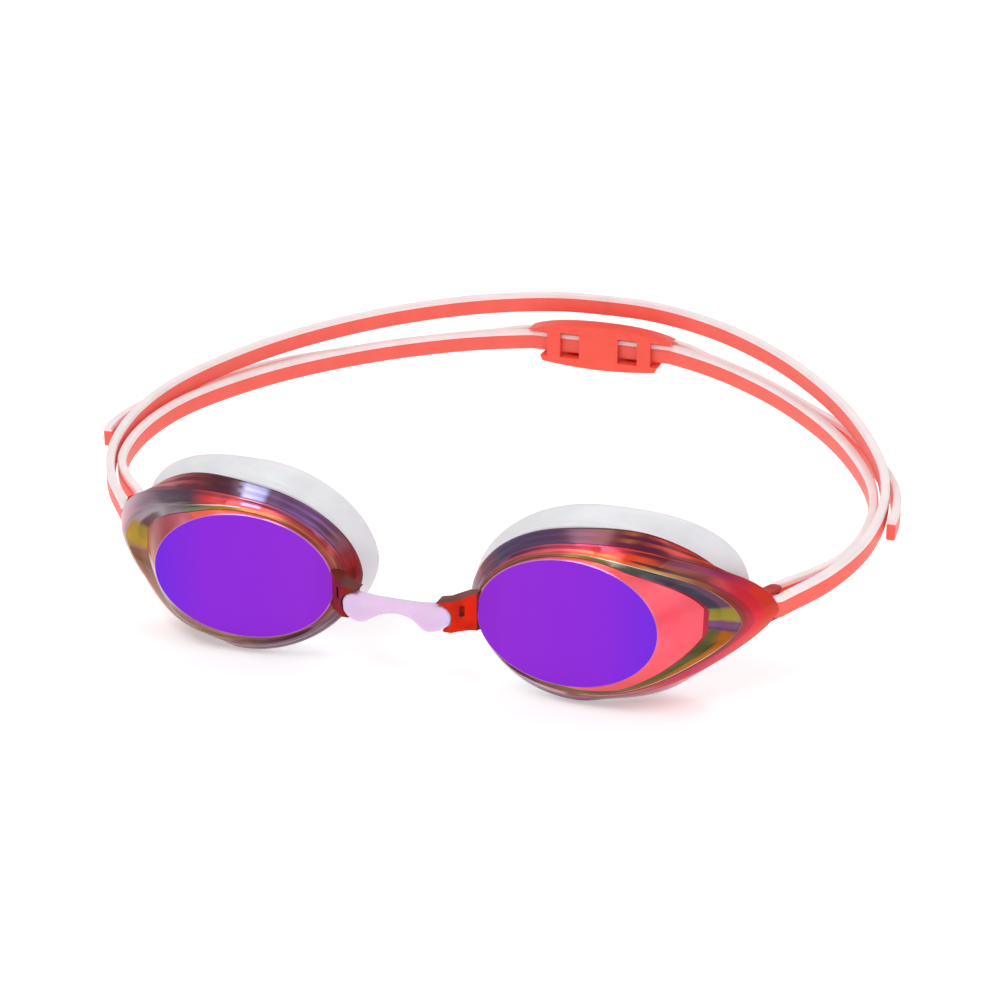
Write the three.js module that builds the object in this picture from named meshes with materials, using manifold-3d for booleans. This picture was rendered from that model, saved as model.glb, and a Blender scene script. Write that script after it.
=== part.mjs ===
// Racing swim goggles: two one-piece eyecups joined by a soft nosepiece, a silicone gasket on each
// eyecup, and one long two-band strap that runs round a slot bar on each side and ends in a rear clip.
// Millimetres, +Z up, -Y is the side the wearer looks out of, and left is -X.
import * as THREE from "three";
import { mergeVertices } from "three/addons/utils/BufferGeometryUtils.js";
import Module from "manifold-3d";

const wasm = await Module();
wasm.setup();

// ---- Driving dimensions ----

const gap = 0.4; // clearance between pieces that touch or slide
const ringPoints = 64; // points round each ring of an eyecup or gasket

const lens = {
  centreX: 37.7,
  halfWidth: 20.75,
  halfHeight: 13.75,
  thickness: 2,
  wrap: THREE.MathUtils.degToRad(5), // the nasal end sits this much further back
  lean: THREE.MathUtils.degToRad(7), // the top sits this much further back
  roll: THREE.MathUtils.degToRad(3), // the outer end sits this much higher
};

const cupCentre = { x: 40, z: 0.8 }; // the centre that every eyecup ring is measured from
const rim = { inner: 26.9, outer: 38.6, halfHeight: 19.7, point: 1.7, depth: [4.8, 1.7, 8.6], lean: 0.12 };
const facetEdge = { inner: 24.4, outer: 32.9, halfHeight: 16.2, point: 1.55 };
const ledge = { inner: 25.6, outer: 36.2, halfHeight: 17.6, point: 1.6 };
const rimSideDepth = 3.2; // how far the rim's outer wall runs forward of its rear face
const rimTaper = { inner: 1.15, outer: 2.4, halfHeight: 1.3 }; // how much smaller the rim is in front
const skew = 0.12; // how far the nasal half of each ring leans out with height
const tuck = 0.1; // how far the lower corners of each ring are drawn in
const cavity = { inner: 23.4, outer: 27.4, halfHeight: 16.4, point: 2 };
const cavityDepth = 3; // how far the cavity keeps its full width forward of the rear face

const seal = {
  front: { inner: 25.4, outer: 28.6, halfHeight: 18.6, point: 2 },
  rear: { inner: 28.4, outer: 31.6, halfHeight: 19.6, point: 2.4 },
  wall: 2.6, // thickness at the eyecup
  lip: 4.2, // width of the face that rests on the skin
  depth: [16.3, 3.5, 3.5], // of the skin face, along the width
  depthCentreX: 44.3,
  centreZ: 1,
  lean: 0.2,
};

const bar = { x: 76.8, y: 25, z: 0.6, radius: 1.2 }; // the upright that the strap loops round
const ear = { rootX: 74.6, rootY: 17.5, halfWidth: 1.6, thickness: 1.2 };

const strap = { width: 5, thickness: 2 };
const layerPitch = strap.thickness + gap; // centre to centre where two layers lie together
const upperRearHeight = 21.8;
const lowerRearHeight = 12.3;
const upperRise = 2.35; // how soon each band climbs on its way back
const lowerRise = 3.2;
const clipY = 142; // the lower band runs straight across here, through the clip
const rearGap = 1; // between the two halves of the upper band
const bandEndGap = 0.8; // between the slot loop and the end of a band
const bandStart = 5; // along the route, from the bar to the band's end
const bandStations = 40;
const tailRiseShape = 6; // the free tail keeps its height further forward than the band does
const tailEndFraction = 0.17; // of the way from the bar to the rear
const tailSplay = 1.7; // how far the tail's tip springs away from the upper band
const tailStations = 30;

const clip = {
  gap: 0.8, // clearance that lets the clip slide and the strap flex in it
  halfLength: 19.3,
  lowerHalfLength: 15.2,
  halfHeight: 5.7,
  plate: 1, // thickness of the inner plate and of the outer bridges
  windowHalfHeight: 3.3,
  windowStart: 5.2,
  windowEnd: 10.5,
  notchStart: 14,
  bridgeStart: 6.1,
  bridgeEnd: 9.6,
};
const foldX = 4; // centre of the U that each strap end makes behind the clip
const tailLift = strap.thickness + clip.plate + 2 * clip.gap; // tail's distance from the band at the clip

const nose = {
  padX: 10.1, // centre of each rounded end
  padRadius: 2.6,
  padZ: -1.3,
  lobeX: 8.2, // lowest point of the lobe under each end
  lobeZ: -4.5,
  bridgeTop: 0.6,
  bridgeBottom: -1.6,
  frontY: -3.6,
  depth: 3.4,
  tongueLength: 2.6,
  tongueHeight: 2.2,
  tongueDepth: 1,
};
const socket = {
  // Seen from above, a fork flush with the nosepiece that runs back into the eyecup's wall.
  plan: [[6, -3.4], [15.6, -3.4], [16.8, 1.9], [18.6, 3.4], [14.5, 3.4], [11.5, 0.6], [6, 0.6]],
  topTip: [8.6, 1.6],
  bottomTip: [10.5, -4.45],
  topEdge: [[11.5, 2.5], [15, 3.1], [17.8, 5]], // from the tip out to the lens wall
  bottomEdge: [[13, -4.3], [17.2, -4.3]],
  windowX: 14.9, // the small snap window over the nosepiece's tongue
  windowWidth: 1.2,
  windowHeight: 2.2,
};

// ---- Geometry helpers ----

// A closed surface through rings of points. Open-ended lofts are capped; a cyclic one joins up.
function loft(rings, cyclic = false) {
  const count = rings[0].length;
  const points = rings.flat();
  const faces = [];
  const spans = cyclic ? rings.length : rings.length - 1;
  for (let ring = 0; ring < spans; ring++) {
    const next = (ring + 1) % rings.length;
    for (let i = 0; i < count; i++) {
      const j = (i + 1) % count;
      const a = ring * count + i;
      const b = ring * count + j;
      const c = next * count + j;
      const d = next * count + i;
      faces.push(a, c, b, a, d, c);
    }
  }
  if (!cyclic) {
    for (const [first, turned] of [[0, true], [(rings.length - 1) * count, false]]) {
      const centre = new THREE.Vector3();
      for (let i = 0; i < count; i++) centre.addScaledVector(points[first + i], 1 / count);
      const hub = points.push(centre) - 1;
      for (let i = 0; i < count; i++) {
        const a = first + i;
        const b = first + ((i + 1) % count);
        if (turned) faces.push(hub, a, b);
        else faces.push(hub, b, a);
      }
    }
  }
  const geometry = new THREE.BufferGeometry().setFromPoints(points);
  geometry.setIndex(faces);
  return geometry;
}

function solid(geometry) {
  const bare = geometry.clone();
  bare.deleteAttribute("normal");
  bare.deleteAttribute("uv");
  const merged = mergeVertices(bare, 1e-4);
  const vertProperties = new Float32Array(merged.attributes.position.array);
  const triVerts = new Uint32Array(merged.index.array);
  return new wasm.Manifold(new wasm.Mesh({ numProp: 3, vertProperties, triVerts }));
}

function geometryOf(manifold) {
  const mesh = manifold.getMesh();
  const geometry = new THREE.BufferGeometry();
  geometry.setAttribute("position", new THREE.BufferAttribute(mesh.vertProperties, 3));
  geometry.setIndex(new THREE.BufferAttribute(mesh.triVerts, 1));
  return geometry;
}

function block(lowX, highX, lowY, highY, lowZ, highZ) {
  const box = new THREE.BoxGeometry(highX - lowX, highY - lowY, highZ - lowZ);
  box.translate((lowX + highX) / 2, (lowY + highY) / 2, (lowZ + highZ) / 2);
  return solid(box);
}

// Extrudes an outline drawn in X and Z from lowY to highY.
function slabAlongY(shape, lowY, highY) {
  const options = { depth: highY - lowY, bevelEnabled: false, curveSegments: 12 };
  const slab = new THREE.ExtrudeGeometry(shape, options);
  slab.rotateX(Math.PI / 2);
  slab.translate(0, highY, 0);
  return solid(slab);
}

// ---- Rings of the right-hand eyecup and gasket ----

// An ellipse whose outer half may end in a soft point: point is 2 for round, less for sharper.
function eggRing({ inner, outer, halfHeight, point }, depthAt, centreZ = cupCentre.z) {
  const ring = [];
  for (let i = 0; i < ringPoints; i++) {
    const turn = (i / ringPoints) * 2 * Math.PI;
    const power = Math.cos(turn) > 0 ? 2 / point : 1;
    const across = Math.sign(Math.cos(turn)) * Math.abs(Math.cos(turn)) ** power;
    const up = Math.sign(Math.sin(turn)) * Math.abs(Math.sin(turn)) ** power;
    const z = centreZ + halfHeight * up;
    const reach = (across > 0 ? outer : inner - skew * halfHeight * up) * (1 + tuck * Math.min(up, 0));
    const x = cupCentre.x + reach * across;
    ring.push(new THREE.Vector3(x, depthAt(x, z), z));
  }
  return ring;
}

function windowDepth(x, z) {
  return -Math.tan(lens.wrap) * (x - lens.centreX) + Math.tan(lens.lean) * z;
}

function windowRing(inset, setback) {
  const ring = [];
  for (let i = 0; i < ringPoints; i++) {
    const turn = (i / ringPoints) * 2 * Math.PI;
    const u = (lens.halfWidth - inset) * Math.cos(turn);
    const v = (lens.halfHeight - inset) * Math.sin(turn);
    const x = lens.centreX + u * Math.cos(lens.roll) - v * Math.sin(lens.roll);
    const z = u * Math.sin(lens.roll) + v * Math.cos(lens.roll);
    ring.push(new THREE.Vector3(x, windowDepth(x, z) + setback, z));
  }
  return ring;
}

function curveDepth(depth, x, centreX) {
  const u = (x - centreX) / 30;
  return depth[0] + depth[1] * u + depth[2] * u * u;
}

function rimDepth(x, z) {
  return curveDepth(rim.depth, x, cupCentre.x) + rim.lean * z;
}

function sealDepth(x, z) {
  return curveDepth(seal.depth, x, seal.depthCentreX) + seal.lean * z;
}

// Depth of the sloping side facets: shallow round the lens, running back with the rim at the point.
function facetDepth(share, offset) {
  return (x, z) => {
    const near = windowDepth(Math.min(x, lens.centreX + lens.halfWidth), z) + offset;
    const reach = THREE.MathUtils.clamp((x - 52) / 24, 0, 1);
    return near + (rimDepth(x, z) - rimSideDepth - near) * share * reach * reach * (3 - 2 * reach);
  };
}

function shrunk(egg, by) {
  return { ...egg, inner: egg.inner - by, outer: egg.outer - by, halfHeight: egg.halfHeight - by };
}

function blended(a, b, share) {
  const ring = {};
  for (const key of ["inner", "outer", "halfHeight", "point"]) ring[key] = a[key] + (b[key] - a[key]) * share;
  return ring;
}

// ---- The eyecup ----

function cupShell() {
  const rimFrontEdge = {
    inner: rim.inner - rimTaper.inner,
    outer: rim.outer - rimTaper.outer,
    halfHeight: rim.halfHeight - rimTaper.halfHeight,
    point: rim.point,
  };
  const rimFront = (x, z) => Math.max(rimDepth(x, z) - rimSideDepth, windowDepth(x, z) + 1.4);
  const behindLens = lens.thickness + 0.6;
  const cavityFront = (x, z) => Math.max(rimDepth(x, z) - cavityDepth, windowDepth(x, z) + behindLens);
  return solid(
    loft([
      windowRing(0, 0),
      eggRing(facetEdge, facetDepth(0.9, 1.6)),
      eggRing(ledge, facetDepth(0.96, 2)),
      eggRing(rimFrontEdge, rimFront),
      eggRing(rim, rimDepth),
      eggRing(cavity, rimDepth),
      eggRing(cavity, cavityFront),
      windowRing(1.6, lens.thickness),
    ]),
  );
}

function forkShape() {
  const clear = nose.padRadius + gap;
  const angleTo = ([x, z]) => Math.atan2(z - nose.padZ, x - nose.padX);
  const shape = new THREE.Shape();
  const corners = [...socket.bottomEdge].reverse();
  shape.moveTo(...corners[0]);
  for (const corner of corners.slice(1)) shape.lineTo(...corner);
  shape.lineTo(...socket.bottomTip);
  shape.absarc(nose.padX, nose.padZ, clear, angleTo(socket.bottomTip), angleTo(socket.topTip), false);
  shape.lineTo(...socket.topTip);
  for (const corner of socket.topEdge) shape.lineTo(...corner);
  return shape;
}

function noseSocket() {
  const { plan, windowX, windowWidth, windowHeight } = socket;
  const frontY = plan[0][1];
  const outline = new THREE.Shape(plan.map(([x, y]) => new THREE.Vector2(x, y)));
  const upright = new THREE.ExtrudeGeometry(outline, { depth: 20, bevelEnabled: false }).translate(0, 0, -10);
  const fork = slabAlongY(forkShape(), frontY, 4).intersect(solid(upright));
  const midY = nose.frontY + nose.depth / 2;
  const tongueEnd = nose.padX + nose.padRadius + nose.tongueLength;
  const halfHeight = nose.tongueHeight / 2 + gap;
  const halfDepth = nose.tongueDepth / 2 + gap;
  const pocket = block(
    nose.padX, tongueEnd + gap,
    midY - halfDepth, midY + halfDepth,
    nose.padZ - halfHeight, nose.padZ + halfHeight,
  );
  const snapWindow = block(
    windowX - windowWidth / 2, windowX + windowWidth / 2,
    frontY - 1, midY, nose.padZ - windowHeight / 2, nose.padZ + windowHeight / 2,
  );
  return fork.subtract(pocket).subtract(snapWindow);
}

// Two ears behind the outer point hold the upright bar between them.
function slotBar() {
  const length = Math.hypot(bar.x - ear.rootX, bar.y - ear.rootY);
  const outline = new THREE.Shape();
  outline.moveTo(0, -ear.halfWidth - 1);
  outline.lineTo(length, -ear.halfWidth);
  outline.absarc(length, 0, ear.halfWidth, -Math.PI / 2, Math.PI / 2, false);
  outline.lineTo(0, ear.halfWidth + 1);
  const options = { depth: ear.thickness, bevelEnabled: false, curveSegments: 6 };
  const plate = new THREE.ExtrudeGeometry(outline, options);
  plate.rotateZ(Math.atan2(bar.y - ear.rootY, bar.x - ear.rootX));
  const halfSlot = strap.width / 2 + gap;
  const post = new THREE.CylinderGeometry(bar.radius, bar.radius, 2 * halfSlot + ear.thickness, 16);
  post.rotateX(Math.PI / 2);
  post.translate(bar.x, bar.y, bar.z);
  const top = plate.clone().translate(ear.rootX, ear.rootY, bar.z + halfSlot);
  const bottom = plate.clone().translate(ear.rootX, ear.rootY, bar.z - halfSlot - ear.thickness);
  return solid(post).add(solid(top)).add(solid(bottom));
}

function eyecupGeometry() {
  return geometryOf(cupShell().add(noseSocket()).add(slotBar()));
}

// ---- The gasket ----

function gasketGeometry() {
  const z = seal.centreZ;
  const frontDepth = (x, height) => rimDepth(x, height) + gap;
  const between = (share, back) => (x, height) =>
    frontDepth(x, height) + (sealDepth(x, height) - frontDepth(x, height)) * share + back;
  const waist = blended(seal.front, seal.rear, 0.35);
  return loft(
    [
      eggRing(seal.front, frontDepth),
      eggRing(waist, between(0.45, 0), z),
      eggRing(seal.rear, between(0.85, 0), z),
      eggRing(shrunk(seal.rear, 0.9), between(1, 0), z),
      eggRing(shrunk(seal.rear, seal.lip), between(1, 0.2), z),
      eggRing(shrunk(seal.rear, seal.lip + 0.6), between(0.86, 0), z),
      eggRing(shrunk(waist, seal.wall), between(0.45, 0), z),
      eggRing(shrunk(seal.front, seal.wall), frontDepth),
    ],
    true,
  );
}

// ---- The nosepiece ----

function nosepieceGeometry() {
  const { padX, padZ, padRadius, lobeX, lobeZ, bridgeTop, bridgeBottom } = nose;
  const arch = new THREE.Shape();
  arch.moveTo(-padX, padZ + padRadius);
  arch.bezierCurveTo(-6, bridgeTop, -4, bridgeTop, 0, bridgeTop);
  arch.bezierCurveTo(4, bridgeTop, 6, bridgeTop, padX, padZ + padRadius);
  arch.absarc(padX, padZ, padRadius, Math.PI / 2, -Math.PI / 4, true);
  arch.quadraticCurveTo(padX, lobeZ, lobeX, lobeZ);
  arch.bezierCurveTo(5.6, lobeZ, 4.6, bridgeBottom, 0, bridgeBottom);
  arch.bezierCurveTo(-4.6, bridgeBottom, -5.6, lobeZ, -lobeX, lobeZ);
  arch.quadraticCurveTo(-padX, lobeZ, -padX - padRadius * Math.SQRT1_2, padZ - padRadius * Math.SQRT1_2);
  arch.absarc(-padX, padZ, padRadius, Math.PI * 1.25, Math.PI / 2, true);
  let body = slabAlongY(arch, nose.frontY, nose.frontY + nose.depth);
  const midY = nose.frontY + nose.depth / 2;
  const reach = nose.padX + nose.padRadius;
  for (const side of [-1, 1]) {
    const near = side * (reach - 1);
    const far = side * (reach + nose.tongueLength);
    const tongue = block(
      Math.min(near, far), Math.max(near, far), midY - nose.tongueDepth / 2, midY + nose.tongueDepth / 2,
      nose.padZ - nose.tongueHeight / 2, nose.padZ + nose.tongueHeight / 2,
    );
    body = body.add(tongue);
  }
  return geometryOf(body);
}

// ---- The strap, right-hand half ----

// Plan of the strap's outer layer from the slot bar round to the middle of the back.
const routeCurve = new THREE.CatmullRomCurve3(
  [
    [78.8, 23.8], [86.4, 32.4], [91.3, 43.1], [92.8, 55], [91.6, 66.3], [88, 77.4],
    [76.7, 96.8], [63.2, 113.2], [48, 127.4], [30.4, 139.3], [12, 146.4], [-6, 147.4],
  ].map(([x, y]) => new THREE.Vector3(x, y, 0)),
  false,
  "centripetal",
);
const routeSamples = 400;
const route = routeCurve.getSpacedPoints(routeSamples).filter((point) => point.x >= 0);
const routeStep = routeCurve.getLength() / routeSamples;
const routeLength = (route.length - 1) * routeStep;

// The point of the route at a distance from the bar, with its outward direction.
function onRoute(distance) {
  const place = THREE.MathUtils.clamp(distance / routeStep, 0, route.length - 1.001);
  const index = Math.min(Math.floor(place), route.length - 2);
  const point = route[index].clone().lerp(route[index + 1], place - index);
  const along = route[index + 1].clone().sub(route[index]).normalize();
  return { point, outward: new THREE.Vector3(along.y, -along.x, 0), along };
}

function bandHeight(distance, rearHeight, rise) {
  return bar.z + (rearHeight - bar.z) * (1 - (1 - distance / routeLength) ** rise);
}

// One chamfered rectangle of strap section, standing across the band at a point.
function strapSection(centre, outward, width = strap.width) {
  const corner = 0.3;
  const a = strap.thickness / 2;
  const b = width / 2;
  const outline = [
    [a, -b + corner], [a, b - corner], [a - corner, b], [corner - a, b],
    [-a, b - corner], [-a, corner - b], [corner - a, -b], [a - corner, -b],
  ];
  return outline.map(([out, up]) => centre.clone().addScaledVector(outward, out).setZ(centre.z + up));
}

const loopRadius = bar.radius + 0.3 + strap.thickness / 2; // of the strap's middle, round the bar
const barAxis = new THREE.Vector3(bar.x, bar.y, 0);

// How far a layer has moved sideways from the route, from the slot bar to where the layers meet.
function mergeShare(distance) {
  return THREE.MathUtils.smoothstep(distance, bandStart - 3, 22);
}

function layerPoint(distance, inset, height) {
  const { point, outward } = onRoute(distance);
  const centre = point.clone().addScaledVector(outward, -inset);
  return { centre: centre.setZ(height), outward };
}

function upperBandPoint(distance) {
  return layerPoint(distance, 0, bandHeight(distance, upperRearHeight, upperRise));
}

function lowerBandPoint(distance) {
  const inset = 2 * loopRadius + (layerPitch - 2 * loopRadius) * mergeShare(distance);
  const place = layerPoint(distance, inset, bandHeight(distance, lowerRearHeight, lowerRise));
  if (place.centre.y > clipY) {
    place.centre.y = clipY;
    place.outward.set(0, 1, 0);
  }
  return place;
}

// The tail lies against the outside of the lower band, then outside the upper band near its end.
function tailPoint(distance) {
  const height = bandHeight(distance, lowerRearHeight, tailRiseShape);
  const share = distance / routeLength;
  const outside = 1 - THREE.MathUtils.smoothstep(share, 0.47, 0.62);
  const splay = 1 - THREE.MathUtils.smoothstep(share, tailEndFraction, tailEndFraction + 0.18);
  const place = layerPoint(distance, -layerPitch * outside - tailSplay * splay, height);
  const lifted = clipY + tailLift;
  const nearClip = 1 - THREE.MathUtils.smoothstep(place.centre.x, 13, 30);
  place.centre.y += (lifted - place.centre.y) * nearClip;
  return place;
}

// Rings whose width narrows to a rounded end, so that the band can swing next to the slot loop.
function taperedStart(pointAt, start) {
  return [
    [0, 0.55],
    [0.5, 0.8],
    [1.6, 1],
  ].map(([ahead, share]) => {
    const { centre, outward } = pointAt(start + ahead);
    return strapSection(centre, outward, strap.width * share);
  });
}

function upperBandGeometry() {
  const start = bandStart + bandEndGap;
  const rings = taperedStart(upperBandPoint, start);
  const end = routeLength - rearGap / 2;
  for (let i = 1; i <= bandStations; i++) {
    const { centre, outward } = upperBandPoint(start + 1.6 + ((end - start - 1.6) * i) / bandStations);
    rings.push(strapSection(centre, outward));
  }
  return loft(rings);
}

function lowerBandGeometry() {
  const start = bandStart + bandEndGap;
  const rings = taperedStart(lowerBandPoint, start);
  const end = routeLength - foldX;
  for (let i = 1; i <= bandStations; i++) {
    const { centre, outward } = lowerBandPoint(start + 1.6 + ((end - start - 1.6) * i) / bandStations);
    rings.push(strapSection(centre, outward));
  }
  const foldRadius = tailLift / 2;
  const foldSteps = 8;
  for (let i = 1; i < foldSteps; i++) {
    const turn = (i / foldSteps) * Math.PI;
    const centre = new THREE.Vector3(
      foldX - foldRadius * Math.sin(turn), clipY + foldRadius - foldRadius * Math.cos(turn), lowerRearHeight,
    );
    const outward = new THREE.Vector3(Math.sin(turn), Math.cos(turn), 0);
    rings.push(strapSection(centre, outward));
  }
  const tailEnd = routeLength * tailEndFraction;
  for (let i = 0; i <= tailStations; i++) {
    const { centre, outward } = tailPoint(end + ((tailEnd - end) * i) / tailStations);
    rings.push(strapSection(centre, outward.negate()));
  }
  return loft(rings);
}

// The U of strap that goes round the slot bar and joins the two bands.
function slotLoopGeometry() {
  const rings = [];
  const { outward, along } = onRoute(0);
  const straight = bandStart;
  for (let i = 0; i <= 3; i++) {
    const { centre, outward: out } = upperBandPoint(straight - (straight * i) / 3);
    rings.push(strapSection(centre, out.negate()));
  }
  const steps = 10;
  for (let i = 1; i < steps; i++) {
    const turn = (i / steps) * Math.PI;
    const away = outward.clone().multiplyScalar(Math.cos(turn)).addScaledVector(along, -Math.sin(turn));
    const centre = barAxis.clone().addScaledVector(away, loopRadius).setZ(bar.z);
    rings.push(strapSection(centre, away.negate()));
  }
  for (let i = 0; i <= 3; i++) {
    const { centre, outward: out } = lowerBandPoint((straight * i) / 3);
    rings.push(strapSection(centre, out));
  }
  return loft(rings);
}

// ---- The rear clip ----

function clipOutline() {
  const outline = new THREE.Shape();
  const { halfLength, lowerHalfLength, halfHeight } = clip;
  outline.moveTo(-lowerHalfLength, -halfHeight + 1);
  outline.quadraticCurveTo(0, -halfHeight - 1, lowerHalfLength, -halfHeight + 1);
  outline.lineTo(halfLength, halfHeight - 2.4);
  outline.quadraticCurveTo(halfLength - 6, halfHeight, 0, halfHeight);
  outline.quadraticCurveTo(-halfLength + 6, halfHeight, -halfLength, halfHeight - 2.4);
  return outline;
}

function clipGeometry() {
  const channel = strap.thickness / 2 + clip.gap;
  const inner = clipY - channel - clip.plate;
  const outer = clipY + channel + clip.plate;
  const z = lowerRearHeight;
  const halfSlot = clip.windowHalfHeight;
  const wide = clip.halfLength + 5;
  let body = slabAlongY(clipOutline(), inner, outer).translate([0, 0, z]);
  body = body.subtract(block(-wide, wide, clipY - channel, clipY + channel, z - halfSlot, z + halfSlot));
  const behind = outer + 1;
  body = body.subtract(
    block(-clip.bridgeStart, clip.bridgeStart, clipY, behind, z - halfSlot, z + halfSlot),
  );
  for (const side of [-1, 1]) {
    const cuts = [
      [clip.windowStart, clip.windowEnd, inner - 1, clipY],
      [clip.notchStart, wide, inner - 1, clipY],
      [clip.bridgeEnd, wide, clipY, behind],
    ];
    for (const [near, far, lowY, highY] of cuts) {
      const ends = [side * near, side * far].sort((a, b) => a - b);
      body = body.subtract(block(ends[0], ends[1], lowY, highY, z - halfSlot, z + halfSlot));
    }
  }
  return geometryOf(body);
}

// ---- Materials and assembly ----

const frameRed = new THREE.MeshStandardMaterial({ color: 0x8a3a44, roughness: 0.12, metalness: 0.25 });
const siliconeWhite = new THREE.MeshStandardMaterial({ color: 0xeceef0, roughness: 0.5, metalness: 0 });
const siliconeLilac = new THREE.MeshStandardMaterial({ color: 0xe3c4ea, roughness: 0.45, metalness: 0 });
const siliconeCoral = new THREE.MeshStandardMaterial({ color: 0xff6f64, roughness: 0.5, metalness: 0 });
const clipCoral = new THREE.MeshStandardMaterial({ color: 0xff6b58, roughness: 0.35, metalness: 0 });

function piece(name, geometry, material) {
  const mesh = new THREE.Mesh(geometry, material);
  mesh.name = name;
  return mesh;
}

const goggles = new THREE.Group();
goggles.add(piece("nosepiece", nosepieceGeometry(), siliconeLilac));
goggles.add(piece("rear_clip", clipGeometry(), clipCoral));

const sidePieces = {
  eyecup: [eyecupGeometry(), frameRed],
  gasket: [gasketGeometry(), siliconeWhite],
  slot_loop: [slotLoopGeometry(), siliconeCoral],
  upper_band: [upperBandGeometry(), siliconeCoral],
  lower_band: [lowerBandGeometry(), siliconeCoral],
};

for (const [side, mirror] of [["left", -1], ["right", 1]]) {
  const half = new THREE.Group();
  half.scale.x = mirror;
  for (const [name, [geometry, material]] of Object.entries(sidePieces)) {
    half.add(piece(`${side}_${name}`, geometry, material));
  }
  goggles.add(half);
}

// The origin is under the middle of the goggles, level with their lowest point.
const box = new THREE.Box3().setFromObject(goggles);
goggles.position.set(0, -(box.min.y + box.max.y) / 2, -box.min.z);

export default goggles;
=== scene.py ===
"""Looks for the swim goggles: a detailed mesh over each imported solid, soft studio light and the camera.

Shapes are worked out in millimetres in the design frame, whose origin is between the eyecups at lens
height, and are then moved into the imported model's frame. Left is -X.
"""

import math

import bmesh
import bpy
import numpy as np
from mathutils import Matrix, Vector


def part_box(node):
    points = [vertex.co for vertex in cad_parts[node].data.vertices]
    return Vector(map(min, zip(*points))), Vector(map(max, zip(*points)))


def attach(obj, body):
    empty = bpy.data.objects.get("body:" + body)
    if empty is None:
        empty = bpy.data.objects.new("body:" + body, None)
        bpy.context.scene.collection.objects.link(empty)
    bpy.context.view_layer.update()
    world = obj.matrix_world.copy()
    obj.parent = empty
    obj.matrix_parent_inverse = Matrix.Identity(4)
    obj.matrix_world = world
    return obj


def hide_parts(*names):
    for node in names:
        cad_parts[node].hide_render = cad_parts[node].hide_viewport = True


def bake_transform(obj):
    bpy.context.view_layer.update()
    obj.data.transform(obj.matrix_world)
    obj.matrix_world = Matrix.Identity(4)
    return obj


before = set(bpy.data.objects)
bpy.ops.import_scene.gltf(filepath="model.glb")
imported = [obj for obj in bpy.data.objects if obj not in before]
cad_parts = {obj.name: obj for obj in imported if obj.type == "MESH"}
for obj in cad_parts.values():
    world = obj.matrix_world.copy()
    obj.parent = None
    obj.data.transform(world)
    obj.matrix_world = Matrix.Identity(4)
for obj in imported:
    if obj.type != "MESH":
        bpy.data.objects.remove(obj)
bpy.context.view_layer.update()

MM = 0.001
SIDES = (("left", -1), ("right", 1))

# ---- Sizes, in millimetres and radians ----

# The camera's direction is in degrees, and its distance in metres. It aims at a point of the design frame.
CAMERA_LENS, CAMERA_DISTANCE = 100.2, 0.6051
CAMERA_AZIMUTH, CAMERA_ELEVATION = 19.671, 22.076
CAMERA_AIM = (17.44, 14.87, 20.05)

RING_POINTS = 192
CUP_X, CUP_Z = 40, 0.8
# SKEW makes an eyecup's nasal end reach further below than above, and TUCK narrows its lower half.
SKEW, TUCK = 0.12, 0.1
LENS_X, LENS_HALF_WIDTH, LENS_HALF_HEIGHT, LENS_THICKNESS = 37.7, 20.75, 13.75, 2
LENS_WRAP, LENS_LEAN, LENS_ROLL = (math.radians(angle) for angle in (5, 7, 3))

# Each egg is (inner reach, outer reach, half height, sharpness of the outer point, height of its centre,
# how much higher its upper outer quarter is, how much lower its lower outer quarter is).
RIM = (27.2, 32, 19.1, 1.92, 0.4, 1.9, 3.6)
PLATE = (25.2, 38.7, 16.9, 1.68, 0.1, 1.4, 0.3)
LEDGE = (24.7, 35.2, 15.9, 1.66, -0.1, 1.2, 0)
OUTER_LEAF = (24.2, 32.9, 15.1, 1.68, -0.2, 0.9, 0)
INNER_LEAF = (23.7, 26.6, 14.4, 1.8, 0, 0.3, 0)
CAVITY = (23.4, 25.2, 16.4, 2, 0.8, 0, 0)
PANEL_END = 65.4  # the X where the panel beside the window is cut off
# Where along X those two changes of height set in and are complete.
RISE_START, RISE_END = 34, 56
DROP_START, DROP_END = 44, 60
RIM_SIDE_DEPTH = 3.2
CAVITY_DEPTH = 1.6
# The rim's and the seal's depths follow a parabola along X, whose unit is HALF_SPAN, and lean with height.
HALF_SPAN = 30
RIM_DEPTH, RIM_SLOPE, RIM_LEAN = 4.8, 1.7, 0.12
RIM_CURVE_OUTER, RIM_CURVE_NASAL = 8.6, 7.6
RIM_LOW_RUN_BACK = 0.26  # how much further back the rim's rear face is, for each millimetre down
PLATE_RUN_BACK, PLATE_BEHIND_WINDOW = 3.4, 1.6
LEAF_FALL = 0.17
SEAL_DEPTH, SEAL_SLOPE, SEAL_CURVE, SEAL_LEAN = 16.3, 3.5, 3.5, 0.2

SEAL_FRONT = (25.4, 28.6, 18.6, 2, 0.8, 0, 0)
SEAL_REAR = (28.4, 32.2, 19.6, 2.4, 1, 0, 0)
SEAL_CENTRE_X, SEAL_WALL, SEAL_LIP = 44.3, 2.6, 4.2

BAR_X, BAR_Y, BAR_Z, BAR_RADIUS = 76.8, 25, 0.6, 1.2
EAR_X, EAR_Y, EAR_HALF_WIDTH, EAR_THICKNESS = 74.8, 20.4, 1.6, 0.8
GAP = 0.4

PAD = (10.1, -1.3)  # the centre of the nosepiece's rounded end
PAD_RADIUS = 2.6
NOSE_FRONT, NOSE_BACK, NOSE_BOTTOM, NOSE_ROUNDING = -3.6, -0.2, -4.5, 1.05
LOBE_TOP, LOBE_LEAN = -1.9, 0.75

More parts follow.
